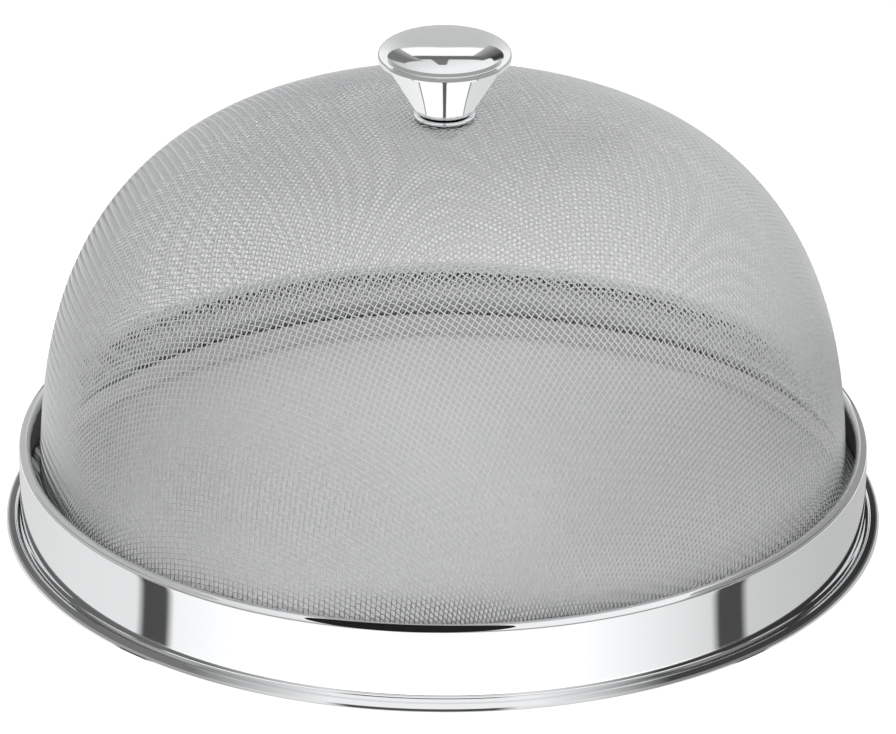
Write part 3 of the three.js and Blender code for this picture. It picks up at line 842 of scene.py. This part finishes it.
def fan_board(name, tones, run=(12.5, 95.0), height=0.2):
    """The fan under the band: a line leaves R (sin b, -cos b) along (sin 2b, -cos 2b)."""
    bearings = np.linspace(tones[0][0], tones[-1][0], STRIP_STEPS)
    b, s = np.meshgrid(np.radians(bearings), np.array(run), indexing="ij")
    x = BAND_RADIUS * np.sin(b) + s * np.sin(2 * b)
    y = -BAND_RADIUS * np.cos(b) - s * np.cos(2 * b)
    board(name, np.stack([x, y, np.full(b.shape, height)], -1), bearings, tones)


def ring_board(name, tones, run, height):
    """A flat ring from one radius to another: (r sin b, -r cos b, height). It faces up, or
    down if the first radius is the larger."""
    bearings = np.linspace(tones[0][0], tones[-1][0], STRIP_STEPS)
    b, r = np.meshgrid(np.radians(bearings), np.array(run), indexing="ij")
    places = np.stack([r * np.sin(b), -r * np.cos(b), np.full(b.shape, height)], -1)
    board(name, places, bearings, tones)


def sky_board(name, tones, rise, away=400.0, centre_height=172.0):
    """Part of a ball's shell round the knob's cap, between two elevations: centre + away
    (sin b cos e, -cos b cos e, sin e), facing in."""
    bearings = np.linspace(tones[0][0], tones[-1][0], 49)
    b, e = np.meshgrid(np.radians(bearings), np.radians(np.linspace(*rise, 13)), indexing="ij")
    shell = np.stack([np.sin(b) * np.cos(e), -np.cos(b) * np.cos(e), np.sin(e)], -1)
    board(name, shell * away + (0, 0, centre_height), bearings, tones)


def bead_board(name, tone, centre, middle, reach, away=5.0, steep=52, spread=62):
    """A narrow strip that follows a bead and faces it: its points are centre + away
    (cos g, sin g) in the plane of radius and height at each bearing b. In the middle g is
    steep with spread to each side, in degrees, and towards the ends that narrows to
    nothing as the root of 1 - ((b - middle) / reach)^2."""
    bearings = np.linspace(middle - reach, middle + reach, 81)
    narrowing = np.sqrt(np.maximum(1 - ((bearings - middle) / reach) ** 2, 0))
    across = np.linspace(-1, 1, 17)
    g = np.radians(steep + spread * narrowing[:, None] * across)
    b = np.radians(bearings)[:, None]
    r = centre[0] + away * np.cos(g)
    places = np.stack([r * np.sin(b), -r * np.cos(b), centre[1] + away * np.sin(g)], -1)
    board(name, places, bearings, [(bearings[0], tone), (bearings[-1], tone)])


# %% Boards for the band, the cloth and the cone
fan_board("board_fan", [
    (-90, "#C4C6C5"), (-60, "#DDDFDE"), (-43.9, "#E3E5E4"),
    (-42.4, "#4A4A4A"), (-38.6, "#4C4C4C"), (-37.2, "#F2F2F2"),
    (-28, "#FFFFFF"), (18, "#FFFFFF"), (37.4, "#D6D6D6"),
    (38.8, "#484848"), (42.6, "#484848"), (44.0, "#C9C9C5"),
    (60, "#BCBCB8"), (90, "#B0B0AC"),
])
ring_board("board_crown", [
    (-180, "#D2D2D2"), (-49.3, "#F0F0F0"), (-48.3, "#8A8A8A"), (-46.4, "#8A8A8A"), (-45.3, "#FFFFFF"),
    (-4.2, "#FFFFFF"), (-2.8, "#585858"), (2.8, "#585858"), (4.2, "#FFFFFF"),
    (46.6, "#FFFFFF"), (47.7, "#8A8A8A"), (49.6, "#8A8A8A"), (50.7, "#DADADA"), (180, "#C6C6C6"),
], run=(10.6, 75.0), height=146.9)
ring_board("board_inside", [(-180, "#D0D0D0"), (180, "#D0D0D0")], run=(0.5, 141.0), height=0.3)
ring_board("board_table_far", [(-180, "#9C9C9C"), (180, "#9C9C9C")], run=(235.0, 2500.0), height=0.2)

# %% Boards for the brim and the beads
brim_tones = [(-88, "#C8C8C8"), (-70, "#9C9C9C"), (70, "#9C9C9C"), (88, "#C8C8C8")]
ring_board("board_over_brim", brim_tones, run=(52.0, 25.5), height=176.5)
ring_board("board_under_brim", brim_tones, run=(32.0, 80.0), height=162.0)
bead_board("board_front", "#1E1E1E", UPPER_BEAD, middle=-4.2, reach=13.8)
bead_board("board_bead_left", "#B4B4B4", UPPER_BEAD, middle=-68.0, reach=38.0)
bead_board("board_bead_right", "#949494", UPPER_BEAD, middle=68.0, reach=34.0)
ring_board("board_skirt_near", [
    (-112, "#787878"), (-75, "#626262"), (-33, "#747474"), (-22, "#C4C4C4"), (-14, "#ECECEC"),
    (12, "#ECECEC"), (20, "#C4C4C4"), (30, "#404040"), (85, "#2A2A2A"), (112, "#505050"),
], run=(151.8, 146.2), height=6.0)
ring_board("board_skirt_far", [
    (-112, "#9C9C9C"), (-75, "#909090"), (-32, "#A4A4A4"), (-22, "#D8D8D8"), (-15, "#E4E4E4"),
    (-12, "#4A4A4A"), (7, "#4A4A4A"), (10, "#E4E4E4"), (20, "#D8D8D8"), (30, "#8A8A8A"),
    (60, "#5C5C5C"), (85, "#606060"), (112, "#808080"),
], run=(176.0, 152.0), height=6.1)
ring_board("board_eaves_right", [
    (34, "#C8C8C8"), (42, "#303030"), (66, "#303030"), (72, "#909090"),
], run=(190.0, 146.0), height=31.6)
ring_board("board_eaves_left", [
    (-72, "#909090"), (-64, "#606060"), (-44, "#606060"), (-36, "#C8C8C8"),
], run=(190.0, 146.0), height=31.6)

# %% Boards in the sky
sky_board("board_right", [(98, "#3C3C3C"), (168, "#3C3C3C")], rise=(-2, 20), away=1500.0)
sky_board("board_left", [(-168, "#585858"), (-98, "#585858")], rise=(-2, 20), away=1500.0)
sky_board("cap_low", [
    (95, "#F4F4F4"), (150, "#ECECEC"), (171, "#BCBCBC"),
    (189, "#BCBCBC"), (210, "#ECECEC"), (265, "#F4F4F4"),
], rise=(-8, 28.5))
sky_board("cap_window", [(160, "#FFFFFF"), (200, "#FFFFFF")], rise=(28.5, 40.5))
sky_board("cap_rail", [(150, "#686868"), (210, "#686868")], rise=(40.5, 48.0))
sky_board("cap_post", [(177.8, "#747474"), (187.5, "#747474")], rise=(48.0, 64.0))
sky_board("cap_right", [
    (130, "#C0C0C0"), (138, "#3A3A3A"), (149, "#3A3A3A"), (161, "#747474"), (168, "#A8A8A8"),
], rise=(23, 41), away=395.0)
sky_board("cap_left", [
    (-165, "#A8A8A8"), (-157, "#747474"), (-136, "#747474"), (-128, "#A8A8A8"),
], rise=(27, 52), away=395.0)
